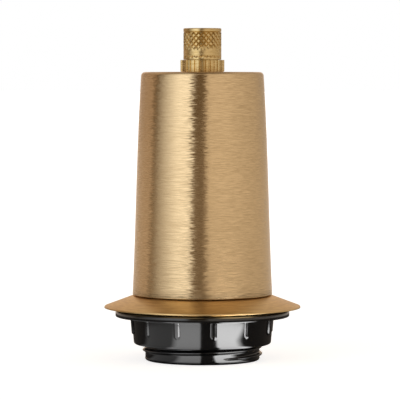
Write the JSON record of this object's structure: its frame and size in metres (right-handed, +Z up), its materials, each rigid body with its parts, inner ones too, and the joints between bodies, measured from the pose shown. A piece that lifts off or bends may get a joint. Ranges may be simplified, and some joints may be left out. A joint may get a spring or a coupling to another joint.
{
  "type": "screw lamp holder",
  "caption": "Pendant holder for a screw-in lamp: brass cord grip, tapered brass cup, conical brass shade flange, black ribbed shade ring and threaded black skirt.",
  "frame": {"origin": "centre of the skirt's bottom rim, which the holder stands on", "axes": "+Z up the holder's axis towards the cord grip, +Y away from the viewer of the picture"},
  "size_m": [0.0654, 0.0654, 0.1104],
  "materials": {
    "brushed_brass": "fine brushing round the axis, satin",
    "satin_brass": "satin, a warmer gold",
    "turned_brass": "turned, bright",
    "black_thermoset": "moulded, glossy",
    "white_porcelain": "glazed",
    "clear_nylon": "natural nylon",
    "zinc_steel": "zinc plated",
    "nickelled_brass": "nickel plated, rolled"
  },
  "bodies": {
    "holder": {"cord_grip_body": "turned_brass", "threaded_tube": "zinc_steel", "cup": "brushed_brass", "earth_tag": "zinc_steel", "earth_screw": "zinc_steel", "lock_washer": "zinc_steel", "cup_nut": "zinc_steel", "holder_cap": "black_thermoset", "cap_bush": "turned_brass", "bush_lock_screw": "zinc_steel", "insert": "white_porcelain", "live_terminal": "turned_brass", "neutral_terminal": "turned_brass", "terminal_screws": "zinc_steel", "contact_spring": "zinc_steel", "screw_shell": "nickelled_brass", "shell_rivets": "nickelled_brass", "skirt": "black_thermoset"},
    "shade_flange_body": {"shade_flange": "satin_brass"},
    "shade_ring_body": {"shade_ring": "black_thermoset"},
    "cord_clamp_body": {"cord_clamp": "clear_nylon"},
    "grip_cap_body": {"cord_grip_cap": "turned_brass"},
    "centre_contact_body": {"centre_contact": "turned_brass"}
  },
  "joints": [
    {"name": "ring_travel", "type": "slide", "parent": "holder", "child": "shade_flange_body", "axis": [0, 0, -1], "range_m": [0, 0.005]},
    {"name": "ring_turn", "type": "hinge", "parent": "shade_flange_body", "child": "shade_ring_body", "pos_m": [0, 0, 0.017], "axis": [0, 0, -1], "range_deg": [0, 720]},
    {"name": "clamp_travel", "type": "slide", "parent": "holder", "child": "cord_clamp_body", "axis": [0, 0, 1], "range_m": [0, 0.005]},
    {"name": "cap_turn", "type": "hinge", "parent": "cord_clamp_body", "child": "grip_cap_body", "pos_m": [0, 0, 0.1], "axis": [0, 0, 1], "range_deg": [0, 1800]},
    {"name": "contact_press", "type": "slide", "parent": "holder", "child": "centre_contact_body", "axis": [0, 0, 1], "range_m": [0, 0.0015], "stiffness_N_per_m": 1500, "springref_m": -0.001, "deforming": ["contact_spring"]}
  ],
  "couplings": [
    {"joint": "ring_turn", "follows": "ring_travel", "rad_per_m": 2513.3},
    {"joint": "cap_turn", "follows": "clamp_travel", "rad_per_m": 6283.2}
  ]
}
